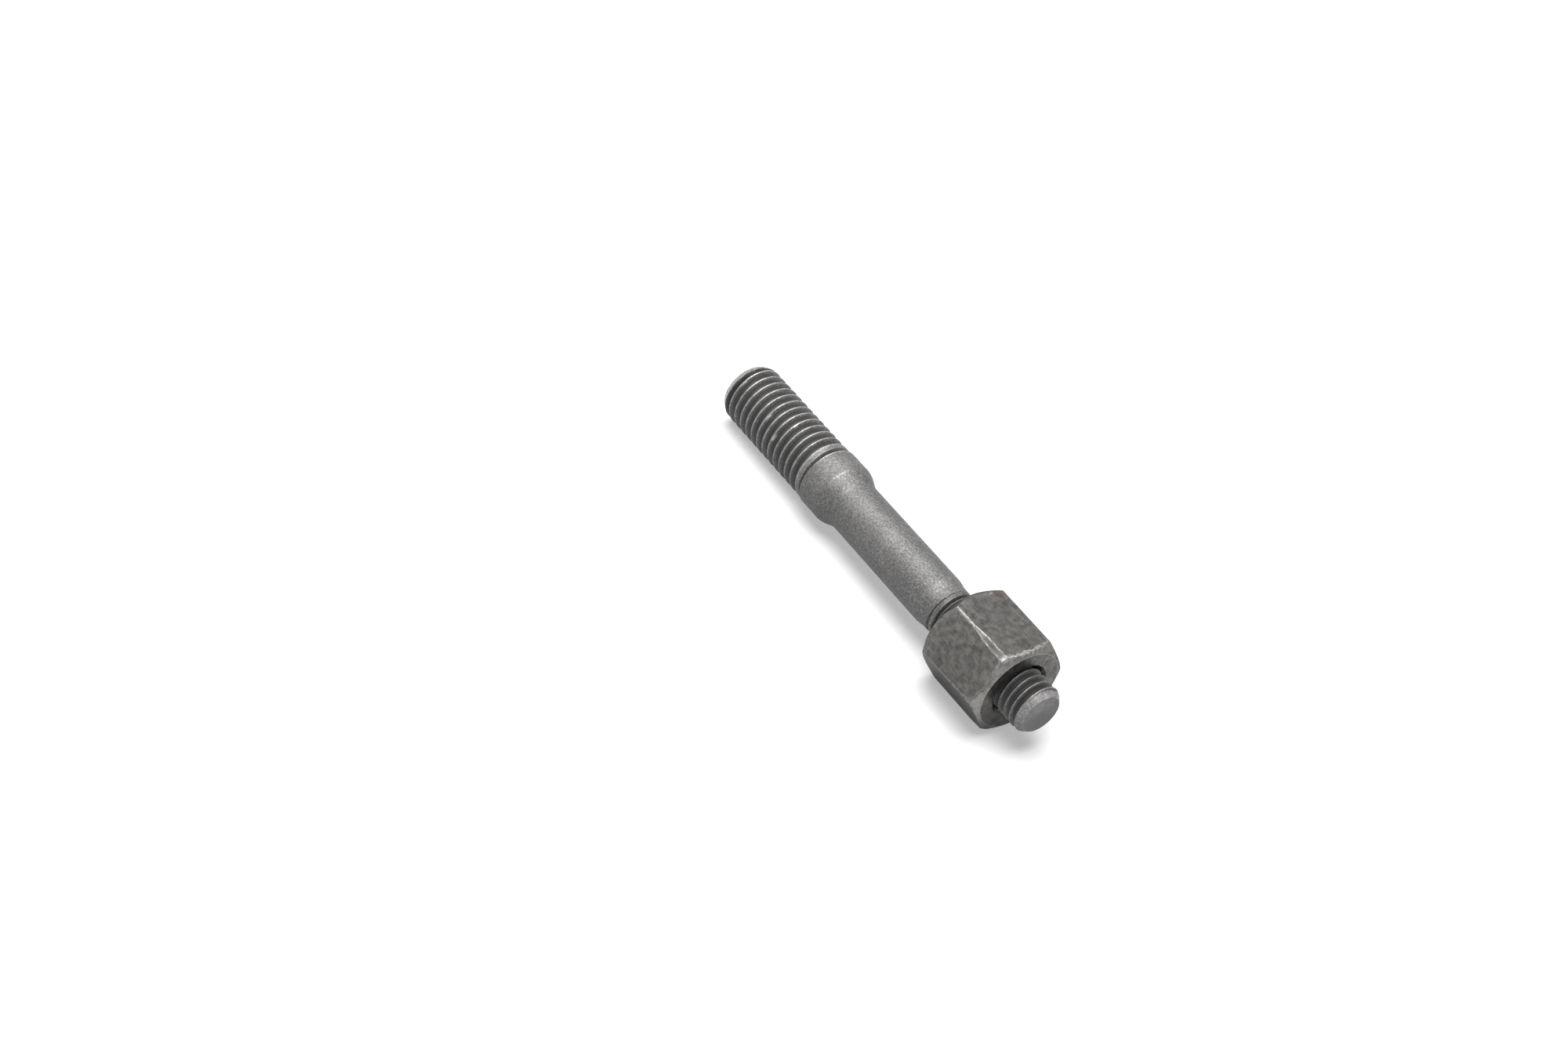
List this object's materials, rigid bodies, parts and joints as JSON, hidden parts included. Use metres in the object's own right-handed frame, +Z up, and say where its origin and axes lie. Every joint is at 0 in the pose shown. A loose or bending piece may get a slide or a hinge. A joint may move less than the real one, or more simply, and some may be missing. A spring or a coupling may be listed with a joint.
{
  "type": "exhaust manifold stud with long hex nut",
  "caption": "Double-ended steel stud with a waisted shank and a long hexagon nut on its thinner thread, for clamping an exhaust manifold to a cylinder head.",
  "frame": {"origin": "on the ground under the middle of the part as it lies at rest", "axes": "+X along the stud towards the nut, +Z up. The stud's axis rises by 2.21 degrees towards the nut, because it lies on its coarse thread's first crest and on the inner edge of a nut flat."},
  "size_m": [0.0736, 0.0162, 0.0145],
  "materials": {
    "stud_steel": "matte dark phosphate, grainy, with bright worn crests",
    "nut_steel": "dark oiled steel, mottled, with bright worn corners"
  },
  "bodies": {
    "stud": {"stud": "stud_steel"},
    "nut": {"nut": "nut_steel"}
  },
  "joints": [
    {"name": "nut_travel", "type": "slide", "parent": "stud", "child": "nut", "axis": [0.9993, 0, 0.0386], "range_m": [-0.00375, 0.01625]}
  ]
}
